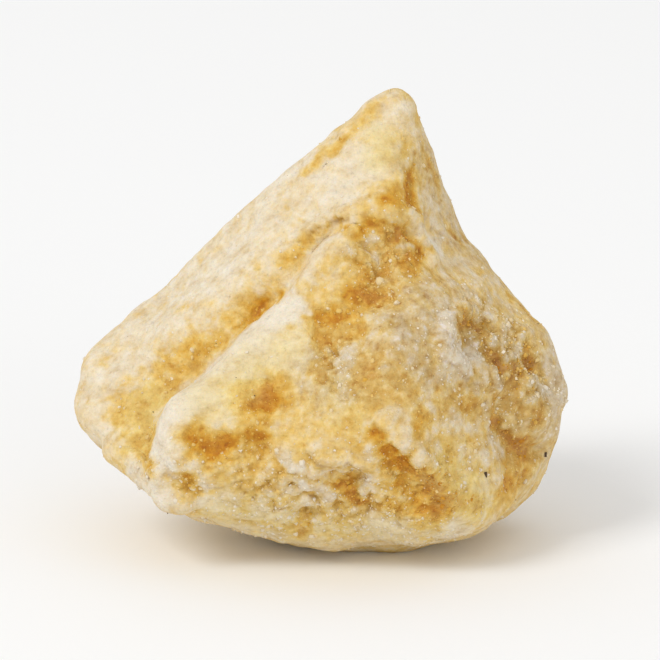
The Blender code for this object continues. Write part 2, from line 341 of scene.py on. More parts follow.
def lumpSurface():
    directions, faces = settledDirections()
    points = reachLump(directions)
    points = raised(points, faces, sum(strokeRise(points, *stroke) for stroke in strokes.values()))
    calm = 1.0 - 0.6 * smoothStep(2.0, -6.0, points[:, 0]) * smoothStep(26.0, 34.0, points[:, 2])
    points = raised(points, faces, calm * layeredNoise(points, relief["grains"], relief["seed"]))
    points[:, 2] = np.maximum(points[:, 2], 0.0)
    low, high = points.min(axis=0), points.max(axis=0)
    boxLow, boxHigh = (np.array(corner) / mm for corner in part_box("jaggery_block"))
    return boxLow + (points - low) * (boxHigh - boxLow) / (high - low), faces


points, faces = lumpSurface()
print("lump surface:", len(points), "points,", len(faces) * 2, "triangles")


# Where the break is coarse and crumbly; elsewhere it is finer. A patch is a strength, its half widths
# at start and end, and its path in millimetres.
coarseBreak = {
    "lowFront": (1.0, (5.5, 7.5), [(-8, -19, 12), (2, -20, 11), (12, -20, 12)]),
    "hollow": (0.8, (3.5, 3.5), [(7.5, -10.5, 42), (7.5, -12, 39)]),
    "right": (1.0, (4.5, 4.5), [(21, -10, 33), (25, -9, 28), (28, -7, 23)]),
    "rightFace": (0.45, (6.0, 6.0), [(16, -16, 31), (22, -12, 20), (17, -18, 14)]),
    "arc": (0.9, (2.6, 2.6), [(1, -19, 31), (2, -20, 28)]),
    "low": (0.7, (4.0, 4.0), [(-16, -19, 14), (-22, -16, 14)]),
    "back": (0.7, (7.0, 7.0), [(-14, 22, 14), (12, 20, 16)]),
}


cracks = {  # fine breaks, carved a little and painted dark with the shade in them; patches of the same kind
    "ledge": (1.0, (0.25, 0.28), [(-2.9, -8.9, 43.2), (-1.6, -9.3, 44.1), (-0.5, -9.1, 44.8), (0.9, -8.7, 45.5),
                                  (2.4, -8.6, 46.1), (3.8, -9.8, 46.6)]),
    "crescentFoot": (0.8, (0.28, 0.25), [(15.3, -18.8, 30.2), (16.7, -18.3, 29.2), (18.2, -17, 27.6),
                                         (19.7, -15.1, 25.9), (21.2, -14.3, 24.5)]),
    "crescentSide": (0.7, (0.25, 0.28), [(17.9, -14.4, 34.1), (18.6, -12, 31.7), (19.4, -12.3, 30.2),
                                         (20.7, -12.6, 29.1)]),
    "chunk": (0.7, (0.25, 0.25), [(13.5, -7.1, 44.5), (14.6, -4.3, 43.6), (15.8, -3, 43), (17.1, -1.8, 42)]),
    "arc": (0.9, (0.28, 0.31), [(-1.7, -22.3, 17.8), (0, -23.2, 16.8), (1.8, -22.7, 16.4), (3.6, -23.3, 16.9),
                                (4.9, -22.5, 16.1), (5.8, -21.2, 14.1)]),
    "valley": (0.8, (0.28, 0.28), [(21.8, -13.8, 22.6), (22.1, -13.8, 20.7), (23.4, -11.4, 18.2),
                                   (24.9, -10, 15.9)]),
    "rim": (0.9, (0.25, 0.25), [(29, -6.3, 25), (29.4, -6.1, 24.1)]),
    "trough": (0.5, (0.25, 0.28), [(-10.7, -10.6, 31.9), (-9, -10.1, 33.6), (-7.2, -9.3, 34.9),
                                   (-5.5, -9.9, 36.5)]),
    "hollow": (0.8, (0.28, 0.25), [(5.2, -10.9, 43.3), (6.4, -10.3, 42), (7.6, -10.4, 40.8), (6.7, -11.9, 39.4)]),
    "hollowRight": (0.9, (0.31, 0.28), [(8.7, -10, 44.9), (10.2, -10.2, 44.1), (11.3, -10.6, 42.7),
                                        (11.9, -10.8, 40.9)]),
    "peakPit": (0.9, (0.31, 0.25), [(11.7, -4.3, 51), (11.6, -5.2, 49.4), (11.9, -6.3, 47.8)]),
    "low": (1.0, (0.37, 0.31), [(-1.1, -20, 11.4), (-0.2, -19.6, 10.3)]),
    "lowLeft": (0.9, (0.37, 0.31), [(-2, -17.5, 9.1), (-2.6, -17, 8.4)]),
    "lobeFoot": (0.6, (0.25, 0.28), [(-20.4, -19.4, 14.4), (-18.5, -19.6, 13.7), (-16.1, -19.8, 12.8),
                                     (-13.2, -20, 12.8), (-10.3, -20.3, 13.6)]),
    "diagonal": (0.6, (0.25, 0.28), [(7.5, -22.5, 17.5), (9.3, -21.3, 15.4), (11, -20.1, 13.2),
                                     (12.5, -19.8, 11)]),
    "back": (0.8, (0.28, 0.28), [(-20, 15.5, 20), (-8, 22, 21), (2, 22, 22.5), (12, 20, 23)]),
    "backRight": (0.8, (0.28, 0.28), [(15.5, 9, 41), (18, 11, 36), (20, 12, 31)]),
}


# The finish: a cream powder film over amber sugar, given by patches of the same kind.
bareAmber = {
    "troughHigh": (0.7, (0.8, 0.8), [(-5, -10.5, 36.5), (-5, -12, 35.5)]),
    "troughUpper": (0.65, (1.2, 1.1), [(-7, -10, 34), (-10, -10.5, 32.5)]),
    "troughMiddle": (0.2, (1.4, 1.4), [(-11.5, -10.5, 31), (-14, -10.5, 29.5)]),
    "troughBend": (0.42, (1.9, 2.2), [(-16.5, -9.5, 28.5), (-18, -9.5, 26.5), (-20.5, -9, 25.5)]),
    "troughWide": (0.42, (2.4, 2.6), [(-20, -10, 23.5), (-23, -10, 21.5), (-26, -8.5, 20.5)]),
    "troughLow": (0.42, (2.4, 1.6), [(-23.5, -11, 19), (-23.5, -12.5, 17.5), (-22.5, -16, 16)]),
    "troughFoot": (0.55, (1.5, 1.4), [(-22.5, -16.5, 15), (-21, -19, 14.5)]),
    "lipAmber": (0.85, (1.5, 1.5), [(-18.5, -20, 14.5), (-17.5, -19, 12.5)]),
    "lobeUpper": (1.18, (2.9, 2.1), [(-9.5, -18.5, 24), (-6.5, -18, 25)]),
    "lobeLower": (0.94, (1.7, 1.8), [(-16.2, -20, 19.4), (-14.2, -20, 18.3), (-12, -20.5, 19.2)]),
    "lobeEmber": (1.2, (0.9, 0.8), [(-14.4, -20.4, 17.7), (-12.6, -20.6, 17.9)]),
    "lobeLowerRight": (0.9, (1.4, 1.1), [(-9.5, -20.4, 19.6), (-7.5, -20.3, 19.6)]),
    "dabLeft": (0.9, (1.5, 1.2), [(0, -14.5, 34), (2.5, -15, 34.5)]),
    "dabRight": (0.7, (1.4, 1.1), [(4, -15.2, 34.8), (5, -17, 33), (4, -16.7, 32.3)]),
    "ring": (0.7, (1.2, 1.1), [(1, -16.3, 30.5), (0.5, -15.5, 32)]),
    "ringBelow": (0.5, (1.2, 1.2), [(1, -18.4, 27.6), (0, -18, 27.6)]),
    "softMiddle": (0.5, (1.6, 1.6), [(6, -19.7, 29.5), (6.3, -21, 27.8)]),
    "goldMiddle": (0.3, (2.2, 2.2), [(10.5, -21.3, 27.9), (10.5, -21.3, 26.5)]),
    "dabCentre": (0.45, (1.0, 0.9), [(6.6, -22.7, 24.2), (6.6, -22.7, 23.8)]),
    "softLow": (0.35, (1.5, 1.5), [(3.2, -22.2, 21.9), (5, -22.5, 21)]),
    "hollowTop": (0.95, (1.4, 1.2), [(5, -10.3, 45), (8, -10, 45.7)]),
    "hollowLeft": (0.6, (0.9, 0.9), [(4.5, -11, 44), (4.6, -11.2, 42)]),
    "hollowDark": (1.0, (0.9, 1.5), [(8.5, -10, 44.3), (11, -8.6, 44), (13, -8.7, 42)]),
    "hollowRight": (0.9, (1.3, 1.2), [(13, -9.5, 41.5), (11.5, -11.3, 40.5)]),
    "hollowLow": (0.78, (1.5, 1.6), [(5.5, -12.6, 39.3), (4, -13.7, 37.3), (7, -13.6, 37)]),
    "hollowLowRight": (0.6, (1.4, 1.2), [(7, -13.6, 37), (9, -13.5, 37)]),
    "hollowFloor": (0.15, (3.0, 3.0), [(7.5, -10.5, 42), (7.5, -12, 39)]),
    "peakDab": (1.0, (1.3, 1.3), [(11.8, -4.4, 50.7), (11.5, -6.7, 48)]),
    "peakDabLeft": (0.75, (0.9, 0.6), [(8.7, -9.6, 48.9), (10.2, -9.6, 48.3), (12, -7.5, 47.5)]),
    "edgeStreak": (0.55, (1.0, 0.7), [(6.8, -1.2, 59.1), (5, -1.8, 57.5), (3.2, -2.5, 55.4),
                                     (0.6, -3.2, 53.3), (-2, -2.9, 51.2)]),
    "rightLine": (0.7, (0.8, 0.7), [(13.2, -0.7, 54.2), (14.2, -0.2, 51.9), (14.9, 0.5, 50.4),
                                    (15.5, 0.6, 47.7)]),
    "rightEdge": (0.9, (0.8, 0.8), [(17.1, -0.4, 42.7), (18.5, 0.3, 40.9)]),
    "ledgeLine": (0.5, (0.6, 0.9), [(2.8, -8.9, 46), (0, -9, 45), (-1.4, -9.2, 43.9), (-3.8, -8.9, 41.8),
                                     (-5.5, -9.1, 40.5)]),
    "diagonal": (1.1, (1.3, 2.5), [(7.5, -24, 21.5), (9.4, -21.8, 17.8), (12.6, -22, 15.7),
                                   (14.4, -21.8, 13.7), (15.8, -21.3, 11.2), (14.3, -19, 8)]),
    "diagonalInner": (0.5, (2.0, 2.4), [(9, -21, 15), (12, -20.5, 12.5), (13.5, -20, 9.5)]),
    "arcSpot": (1.0, (1.1, 1.0), [(3, -20.5, 13.5), (4.8, -19.7, 10.7)]),
    "bottomGold": (0.45, (1.8, 1.6), [(8.7, -20.3, 10), (10.8, -19.8, 8.6), (12.5, -19, 7.2)]),
    "rightGold": (0.55, (1.3, 1.5), [(16.8, -19.8, 17.2), (16.7, -21, 15.1), (17.3, -21.9, 13.5)]),
    "amberHigh": (0.6, (1.4, 1.2), [(13.5, -22.2, 22.8), (12.5, -23, 22)]),
    "valley": (0.9, (0.8, 1.4), [(23, -12.8, 23.3), (22.7, -11.8, 19.6), (25.2, -10.2, 16.7),
                                 (27.1, -7.7, 13.9)]),
    "brownSpots": (1.1, (1.2, 1.0), [(22.3, -10.8, 28), (24.1, -10.8, 26.1)]),
    "brownHook": (0.95, (1.2, 1.0), [(25.7, -9.7, 25.3), (27.8, -6.4, 25.3), (27.6, -6.2, 27.7)]),
    "crescentAmber": (0.8, (1.2, 1.2), [(18.2, -13, 33), (19.4, -10.5, 32.8), (21, -10.1, 31.7)]),
    "edgeBrown": (0.5, (1.0, 1.0), [(27.8, 0.2, 31), (25.7, -0.6, 32.9)]),
    "tanSpot": (0.6, (1.2, 1.2), [(27.5, -9.8, 20.7), (28.7, -9, 19.5)]),
    "lowRight": (0.6, (2.2, 2.0), [(26.7, -9.3, 13.1), (24.6, -12.6, 11)]),
    "pitBelow": (0.9, (1.1, 1.3), [(-1.7, -17.6, 8.4), (-2.4, -16.4, 5.9)]),
    "lowPale": (0.8, (2.0, 1.8), [(20.3, -18.9, 9.8), (18, -19, 10.5)]),
    "rightLobe": (0.7, (2.0, 2.0), [(26.1, -10.5, 21.6), (25.5, -10.8, 23)]),
    "tanMiddle": (0.45, (1.6, 1.6), [(15.8, -19.2, 24.9), (19.6, -15.4, 22.7)]),
    "grainyLow": (0.15, (2.6, 2.6), [(-11.8, -20.5, 14.8), (-8.3, -20.3, 13.3), (-4.6, -20.1, 12.6)]),
    "facetTan": (0.25, (1.0, 1.0), [(-20.6, -2.8, 32.2), (-18.1, -6.1, 33.9), (-15.8, -7.8, 34.7)]),
    "noseTan": (0.3, (1.2, 1.2), [(-27.1, -2.3, 27.3), (-29, -3, 25)]),
    "backGroove": (0.7, (1.8, 1.5), [(-8, 22, 22), (4, 22, 23.5)]),
    "backCleft": (0.6, (1.3, 1.6), [(18, 11, 36), (20, 12, 31)]),
    "backCleftFoot": (0.7, (2.0, 1.6), [(21, 14, 23), (24, 10, 21)]),
    "backScoop": (0.6, (4.0, 3.0), [(-13, 12, 34), (-5, 11, 43)]),
    "backFoot": (0.7, (2.6, 2.2), [(-11, 22, 11), (0, 22, 9), (9, 21, 10)]),
    "backPeak": (0.7, (1.2, 1.4), [(6, 6, 54), (3, 9, 47)]),
    "bottomMiddle": (0.22, (2.6, 2.2), [(1.5, -18.4, 9.3), (5.0, -18.8, 9.3)]),
    "disc": (0.15, (3.0, 3.0), [(20.3, -17.2, 16.5), (21.0, -17.3, 13.9)]),
    "hollowBrow": (1.1, (0.7, 0.8), [(9.4, -9.6, 44.9), (11.6, -9.2, 44.0), (13.4, -9.2, 42.6)]),
    "troughDab": (0.7, (1.3, 0.9), [(-8.6, -9.8, 33.6), (-7.4, -9.8, 34.4)]),
    "peakDabSoft": (0.45, (1.2, 1.3), [(10.8, -7.0, 50.4), (10.6, -7.8, 48.8)]),
}
frosting = {
    "apex": (0.6, (2.6, 2.6), [(7, -2, 60), (7.5, -3, 57)]),
    "upperFacet": (0.5, (4.0, 5.0), [(2.5, -5, 52), (-4, -6, 46), (-8, -7, 42.5)]),
    "lobe": (0.75, (2.5, 3.5), [(-3, -16, 30.7), (-8.9, -16.6, 28.1), (-14, -18, 24)]),
    # painted light: extra powder here lightens the underside, which faces down into shade
    "bottomRight": (1.2, (2.8, 2.4), [(8.5, -18.3, 6.6), (13.4, -18.7, 6.7), (17, -18, 7)]),
    "rightOfPeak": (0.3, (4.0, 4.5), [(16, -1, 45), (20.5, -4.6, 37)]),
    # powder and painted highlight: the crest is whitened past its powder for the light caught along its edge
    "crest": (1.6, (2.1, 2.3), [(-4.4, -13.6, 35.1), (-7.5, -14.1, 32.8), (-11, -15, 29.8), (-13.5, -15, 28),
                                (-15.5, -14, 26), (-18.3, -17.9, 24), (-20.5, -18, 21), (-21, -18.5, 18),
                                (-20.2, -19.7, 15.3)]),
    "leftFacet": (0.73, (7.0, 8.0), [(-4, -3, 48), (-13.5, -2, 39.8), (-19, -2, 34), (-26, -3, 27)]),
    "leftRim": (0.7, (3.0, 3.0), [(-30, -5, 22), (-29, -9, 17)]),
    "peakFace": (0.8, (3.0, 4.0), [(6, -5, 53), (2, -5.5, 50)]),
    "crescent": (0.9, (1.1, 2.0), [(16.3, -14.9, 34.5), (16.5, -17, 32.7), (17.2, -17, 31),
                                   (17.6, -17.5, 29.4), (19.7, -14, 28.3)]),
    "crescentFoot": (0.6, (1.3, 1.0), [(18.2, -16.6, 27.2), (20, -14, 27)]),
    "chunk": (1.0, (1.3, 1.5), [(12.8, -7.9, 44.3), (14, -6.9, 43.1), (15.4, -5, 40.9)]),
    "disc": (0.18, (2.2, 2.2), [(20.3, -17.2, 16.5), (21, -17.3, 13.9)]),
    "rightLobe": (0.1, (2.0, 2.4), [(25.4, -10.5, 22.7), (26.5, -10, 20)]),
    "rightRim": (0.48, (1.6, 1.8), [(30.5, -1.2, 28.1), (31.2, -3.1, 25.2), (31.6, -4.7, 19)]),
    "rightBelly": (0.2, (2.4, 2.4), [(18.2, -17.3, 21.5), (20, -15, 21)]),
    "bottomLip": (0.8, (1.8, 1.8), [(-24.1, -14.8, 13.2), (-21.4, -18, 11.3), (-18.5, -19, 11.1),
                                    (-15.6, -19.1, 11.5), (-13.3, -18.8, 10.7)]),
    "bottomRim": (0.5, (1.6, 1.6), [(-7.5, -18.2, 8.7), (-5.2, -17.6, 7.9)]),
    "bottomRimRight": (0.7, (1.5, 1.3), [(5.8, -16.3, 5.5), (8, -15.5, 4)]),
    "ball": (1.0, (0.9, 0.9), [(-3, -22, 15.8), (-2.9, -22, 15.8)]),
    "backLeft": (0.6, (6.0, 7.0), [(-24, 10, 28), (-14, 20, 28), (2, 16, 36)]),
    "backRight": (0.5, (5.0, 6.0), [(22, 14, 26), (12, 18, 34)]),
    "underLedge": (0.55, (1.7, 1.7), [(2.4, -10.4, 44.4), (-1.0, -10.6, 42.2), (-4.2, -11.2, 39.4)]),
    "besideHollow": (0.6, (1.3, 1.5), [(14.6, -8.6, 45.0), (16.0, -7.6, 42.6), (16.6, -8.2, 40.0)]),
    "hollowPeach": (0.9, (0.7, 0.7), [(10.8, -9.8, 43.0), (12.6, -9.6, 42.4)]),
    "hollowDab": (1.0, (0.8, 0.7), [(5.2, -11.0, 41.8), (7.0, -10.6, 41.6)]),
    "bottomEdge": (0.3, (2.4, 2.4), [(-15.0, -14.5, 6.0), (-5.0, -14.5, 4.8), (5.0, -15.5, 4.2), (14.0, -15.5, 4.6)]),
    "nodules": (1.2, (0.8, 0.8), [(-1.9, -21.0, 13.2), (-1.5, -20.9, 12.8)]),
    "lowNodule": (1.2, (0.9, 0.9), [(5.2, -17.6, 5.9), (5.6, -17.6, 5.7)]),
    "besidePit": (1.0, (1.0, 1.0), [(-0.8, -17.6, 7.2), (-0.6, -17.4, 6.4)]),
    "bottomPale": (0.8, (1.9, 1.5), [(-7.2, -18.3, 9.0), (-5.2, -17.8, 8.2)]),
    "besideArch": (0.8, (1.1, 1.3), [(6.9, -21.3, 15.6), (7.6, -21.0, 13.8)]),
    "farLow": (0.6, (1.5, 1.5), [(-15.6, -20.2, 13.3), (-14.6, -19.6, 11.8)]),
    "troughBank": (0.5, (0.9, 0.9), [(-9.4, -11.4, 32.4), (-12.4, -11.6, 29.0), (-15.4, -11.4, 27.0), (-19.0, -11.6, 23.0), (-21.4, -12.9, 20.5)]),
    "troughBreak": (0.6, (1.2, 1.4), [(-10.6, -9.6, 32.6), (-11.4, -10.2, 31.4)]),
    "troughTurn": (0.4, (1.2, 1.4), [(-22.6, -8.6, 24.0), (-21.2, -10.0, 22.6)]),
}
yellowing = {
    "lobe": (0.8, (2.5, 3.5), [(-3, -16, 30.7), (-8.9, -16.6, 28.1), (-14, -18, 24)]),
    "peak": (1.0, (2.0, 2.2), [(7.9, -3.7, 56), (7.9, -5, 53.5)]),
    "middle": (0.5, (3.0, 3.0), [(1.2, -19.7, 26), (4, -21.7, 24.3)]),
    "trough": (0.8, (3.0, 3.0), [(-23.5, -12, 18), (-22, -10, 21)]),
    "lowRight": (1.0, (3.2, 3.2), [(16, -20, 15), (20.6, -18.3, 9.7)]),
    "bottomEdge": (0.8, (4.0, 3.0), [(-12.0, -17.5, 9.0), (-2.0, -17.0, 6.5), (6.0, -17.5, 6.0), (14.0, -18.0, 6.5)]),
}
# Brown tint of the sugar, and painted shade: the right side, the right of the ridge and the peak's right face are
# darkened as if turned from the light.
browningAndShade = {
    "rightSide": (1.0, (7.0, 8.0), [(14, -16, 33), (22, -10, 27), (27, -6, 20)]),
    "rightOfRidge": (1.2, (3.0, 3.4), [(10.4, -17.3, 34.2), (12.7, -18.3, 32.2), (12.5, -19.8, 29.6)]),
    "peakRight": (0.7, (4.0, 5.0), [(15, 0, 52), (20, 2, 38)]),
    "lowFront": (0.25, (5.0, 5.0), [(-6, -20, 13), (4, -20, 12)]),
    "middle": (0.8, (5.0, 5.0), [(2.5, -18.5, 27.5), (10.5, -20.5, 28.0)]),
    "hollow": (0.55, (3.2, 3.2), [(9.5, -10.0, 43.5), (8.0, -12.5, 39.5)]),
}
film = {
    "start": 0.58,          # how much powder lies where no patch says otherwise
    "bare": 0.62, "frost": 0.40, "hollows": 0.06, "heights": 0.06, "crumbs": 0.18,
    "patchiness": ((8.0, 0.10), (4.0, 0.12), (2.2, 0.14), (1.2, 0.14), (0.7, 0.09)),  # grain size and strength
    "chanceGrains": ((10.0, 0.9), (4.5, 0.5)),
    "seed": 21,
    "thickness": 0.22,
}


def patchField(points, patches):
    # the strongest of the patches at each point, faded from full in the middle to none at 1.9 half widths
    field = np.zeros(len(points))
    for strength, widths, path in patches.values():
        nearness, progress = pathNearness(points, np.array(path, float), widths)
        field = np.maximum(field, strength * smoothStep(-0.9, 0.9, nearness))
    return field


behind = smoothStep(4.0, 11.0, points[:, 1])  # the sides and back, where most patches fall by chance
rough = np.maximum(patchField(wandered(points, 2.0, 4.0, 40), coarseBreak),
                   behind * smoothStep(0.15, 0.55, layeredNoise(points, film["chanceGrains"], 70)))
crumbled = [roundedGrains(wandered(points, 0.3, size, 50), size, 60 + step)
            for step, (size, height) in enumerate(relief["crumbs"])]
points = raised(points, faces, (0.4 + 1.0 * rough) * layeredNoise(points, relief["fineGrains"], relief["seed"] + 3)
                + rough * sum(height * (top - 0.5) for top, (size, height) in zip(crumbled, relief["crumbs"])))
# painted shade in the gaps between the crumbs of a coarse break
gapShade = rough * smoothStep(0.35, 0.0, crumbled[0] * 0.5 + crumbled[1] * 0.5)
cracked = patchField(wandered(points, 0.5, 1.4, 45), cracks) * (0.75 + 0.5 * noise(points, 1.6, 46))
points = raised(points, faces, -relief["crackDepth"] * cracked)
gapShade = np.maximum(gapShade, cracked)
carved = sum(strokeRise(points, *stroke) for stroke in strokes.values())
strayed = wandered(wandered(points, 0.9, 2.6, film["seed"] + 10), 0.5, 1.1, film["seed"] + 15)
bareness = patchField(strayed, bareAmber)
bareness = np.maximum(bareness, 0.75 * behind * smoothStep(0.12, 0.60, layeredNoise(strayed, film["chanceGrains"], 80)))
chanceFrost = behind * smoothStep(0.05, 0.50, layeredNoise(strayed, film["chanceGrains"], 90))
cover = (film["start"] - film["bare"] * bareness
         + film["frost"] * np.maximum(patchField(strayed, frosting), 0.8 * chanceFrost)
         - film["hollows"] * np.clip(-carved / 1.5, 0.0, 1.0)
         + film["heights"] * (1.0 + rough) * layeredNoise(points, relief["fineGrains"], relief["seed"] + 3) / 0.1
         + film["crumbs"] * rough * (crumbled[0] + crumbled[1] - 1.0)
         + (0.75 + 0.9 * bareness * (1.0 - bareness) + 0.3 * rough)
         * layeredNoise(wandered(points, 2.4, 3.6, film["seed"] + 20), film["patchiness"], film["seed"]))
points = raised(points, faces, film["thickness"] * smoothStep(0.1, 0.6, cover))
points[:, 2] = np.maximum(points[:, 2], 0.0)
brownedAndShaded = np.maximum(patchField(strayed, browningAndShade) - 0.4 * patchField(strayed, {"crescent": frosting["crescent"]}), 0.0)
print("powder film: cover from", round(float(cover.min()), 2), "to", round(float(cover.max()), 2))


def meshFrom(name, points, faces, smooth, fields):
    mesh = bpy.data.meshes.new(name)
    mesh.from_pydata(points * mm, [], faces)
    mesh.polygons.foreach_set("use_smooth", np.full(len(faces), smooth))
    for field, values in fields.items():
        mesh.attributes.new(field, "FLOAT", "POINT").data.foreach_set("value", values.astype(np.float32))
    mesh.update()
    piece = bpy.data.objects.new(name, mesh)
    bpy.context.scene.collection.objects.link(piece)
    return piece


def addNode(tree, kind, **settings):
    made = tree.nodes.new(kind)
    for name, value in settings.items():
        setattr(made, name, value)
    return made


def weighedSum(tree, start, parts):
    # start + each socket times its weight
    total = start
    for socket, weight in parts:
        step = addNode(tree, "ShaderNodeMath", operation="MULTIPLY_ADD")
        tree.links.new(socket, step.inputs[0])
        step.inputs[1].default_value = weight
        if isinstance(total, float):
            step.inputs[2].default_value = total
        else:
            tree.links.new(total, step.inputs[2])
        total = step.outputs[0]
    return total


def ramp(tree, socket, stops, interpolation="LINEAR"):
    made = addNode(tree, "ShaderNodeValToRGB")
    made.color_ramp.interpolation = interpolation
    while len(made.color_ramp.elements) < len(stops):
        made.color_ramp.elements.new(0.5)
    for element, (place, colour) in zip(made.color_ramp.elements, stops):
        element.position = place
        element.color = (*colour, 1.0)
    tree.links.new(socket, made.inputs[0])
    return made.outputs["Color"]


def blended(tree, factor, first, second, mode="MIX"):
    made = addNode(tree, "ShaderNodeMix", data_type="RGBA", blend_type=mode)
    for socket, value in (("Factor", factor), ("A", first), ("B", second)):
        target = [entry for entry in made.inputs if entry.name == socket and entry.type != "VECTOR"
                  and (socket == "Factor" or entry.type == "RGBA")][0]
        if isinstance(value, (tuple, float)):
            target.default_value = value if isinstance(value, float) else (*value, 1.0)
        else:
            tree.links.new(value, target)
    return [entry for entry in made.outputs if entry.type == "RGBA"][0]


def grainNoise(tree, place, grain, detail, roughness=0.5):
    # noise whose grains are so many millimetres apart
    made = addNode(tree, "ShaderNodeTexNoise")
    made.inputs["Scale"].default_value = 1.0 / (grain * mm)
    made.inputs["Detail"].default_value = detail
    made.inputs["Roughness"].default_value = roughness
    tree.links.new(place, made.inputs["Vector"])
    return made.outputs["Fac"]


jaggery = {
    "colours": (  # powder cover and the colour it gives, in linear light
        (0.00, (0.515, 0.210, 0.008)),
        (0.12, (0.618, 0.306, 0.024)),
        (0.24, (0.660, 0.372, 0.050)),
        (0.36, (0.698, 0.437, 0.098)),
        (0.46, (0.730, 0.495, 0.145)),
        (0.54, (0.745, 0.535, 0.205)),
        (0.62, (0.755, 0.575, 0.285)),
        (0.71, (0.752, 0.606, 0.370)),
        (0.81, (0.760, 0.642, 0.446)),
        (1.00, (0.775, 0.690, 0.550)),
    ),
    "yellow": (0.740, 0.575, 0.200),
    # brown tint, also the colour of the painted shade on the right side
    "brownAndShade": (0.400, 0.290, 0.150),
    "grains": ((0.70, 0.24), (0.32, 0.08)),   # grain size and strength of the powder's own unevenness
    "mottle": ((0.30, (0.84, 0.77, 0.66)), (0.46, (0.97, 0.955, 0.93)), (0.70, (1.06, 1.08, 1.11))),
    "mottleGrain": 1.9,
    "streakTurn": (0.0, 42.0, 0.0), "streakScale": (0.5, 1.0, 1.0),   # the mottling runs up the left slope
    "burnt": ((0.30, (0.70, 0.54, 0.36)), (0.44, (0.94, 0.90, 0.84)), (0.54, (1.0, 1.0, 1.0)), (0.70, (1.16, 1.30, 1.9))),
    "burntGrain": 1.1,
    # colour of the painted shade in cracks and between crumbs
    "gapShadeColour": (0.38, 0.19, 0.025),
    "speckle": ((0.28, 0.82), (0.42, 0.97), (0.70, 1.06)),
    "speckleGrain": 0.60,
    "bump": 0.75,
    "glow": 0.12,
}


def jaggeryMaterial():
    material = bpy.data.materials.new("frostedJaggery")
    material.use_nodes = True
    tree = material.node_tree
    shader = tree.nodes["Principled BSDF"]
    place = addNode(tree, "ShaderNodeTexCoord").outputs["Object"]
    fields = {name: addNode(tree, "ShaderNodeAttribute", attribute_name=name).outputs["Fac"]
              for name in ("cover", "yellow", "brownAndShade", "gapShade", "rough")}
    coarse, fine = (grainNoise(tree, place, grain, 2.0) for grain, strength in jaggery["grains"])
    weights = [strength for grain, strength in jaggery["grains"]]
    powder = weighedSum(tree, -0.5 * sum(weights), [(fields["cover"], 1.0), (coarse, weights[0]), (fine, weights[1])])
    colour = ramp(tree, powder, jaggery["colours"])
    colour = blended(tree, weighedSum(tree, 0.0, [(fields["yellow"], 0.6)]), colour, jaggery["yellow"])
    # brown tint and painted shade on the right side
    colour = blended(tree, weighedSum(tree, 0.0, [(fields["brownAndShade"], 0.4)]), colour, jaggery["brownAndShade"])
    bare = weighedSum(tree, 0.95, [(powder, -0.95), (fields["brownAndShade"], 0.6)])
    burnt = ramp(tree, grainNoise(tree, place, jaggery["burntGrain"], 3.0, 0.6), jaggery["burnt"])
    colour = blended(tree, bare, colour, burnt, "MULTIPLY")
    # painted shade: cracks and the gaps between crumbs are darkened
    colour = blended(tree, weighedSum(tree, 0.0, [(fields["gapShade"], 0.8)]), colour, jaggery["gapShadeColour"])
    along = addNode(tree, "ShaderNodeMapping")
    along.inputs["Rotation"].default_value = tuple(np.radians(jaggery["streakTurn"]))
    along.inputs["Scale"].default_value = jaggery["streakScale"]
    tree.links.new(place, along.inputs["Vector"])
    mottle = ramp(tree, grainNoise(tree, along.outputs["Vector"], jaggery["mottleGrain"], 4.0, 0.62), jaggery["mottle"])
    colour = blended(tree, 1.0, colour, mottle, "MULTIPLY")
    dust = grainNoise(tree, place, jaggery["speckleGrain"], 3.0, 0.7)
    greys = [(at, (grey, grey, grey)) for at, grey in jaggery["speckle"]]
    colour = blended(tree, 1.0, colour, ramp(tree, dust, greys), "MULTIPLY")
    tree.links.new(colour, shader.inputs["Base Color"])
    rough = addNode(tree, "ShaderNodeMapRange")
    tree.links.new(powder, rough.inputs["Value"])
    rough.inputs["To Min"].default_value = 0.45
    rough.inputs["To Max"].default_value = 0.88
    tree.links.new(rough.outputs["Result"], shader.inputs["Roughness"])
    shader.inputs["Specular IOR Level"].default_value = 0.25
    shader.inputs["Subsurface Weight"].default_value = jaggery["glow"]
    shader.inputs["Subsurface Radius"].default_value = (1.2, 0.7, 0.3)
    shader.inputs["Subsurface Scale"].default_value = mm
    bump = addNode(tree, "ShaderNodeBump")
    bump.inputs["Strength"].default_value = jaggery["bump"]
    bump.inputs["Distance"].default_value = 0.25 * mm
    beads = addNode(tree, "ShaderNodeTexVoronoi")
    beads.inputs["Scale"].default_value = 1.0 / (0.62 * mm)
    tree.links.new(place, beads.inputs["Vector"])
    beaded = addNode(tree, "ShaderNodeMath", operation="MULTIPLY")
    tree.links.new(beads.outputs["Distance"], beaded.inputs[0])
    tree.links.new(fields["rough"], beaded.inputs[1])
    tree.links.new(weighedSum(tree, 0.0, [(coarse, 1.0), (fine, 0.6), (dust, 0.5), (beaded.outputs[0], -0.8)]),
                   bump.inputs["Height"])
    tree.links.new(bump.outputs["Normal"], shader.inputs["Normal"])
    return material


block = meshFrom("jaggeryLump", points, faces, True, {
    "cover": cover, "gapShade": gapShade, "rough": rough,
    "yellow": patchField(strayed, yellowing), "brownAndShade": brownedAndShaded})
block.data.materials.append(jaggeryMaterial())
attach(block, "root")
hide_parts("jaggery_block")


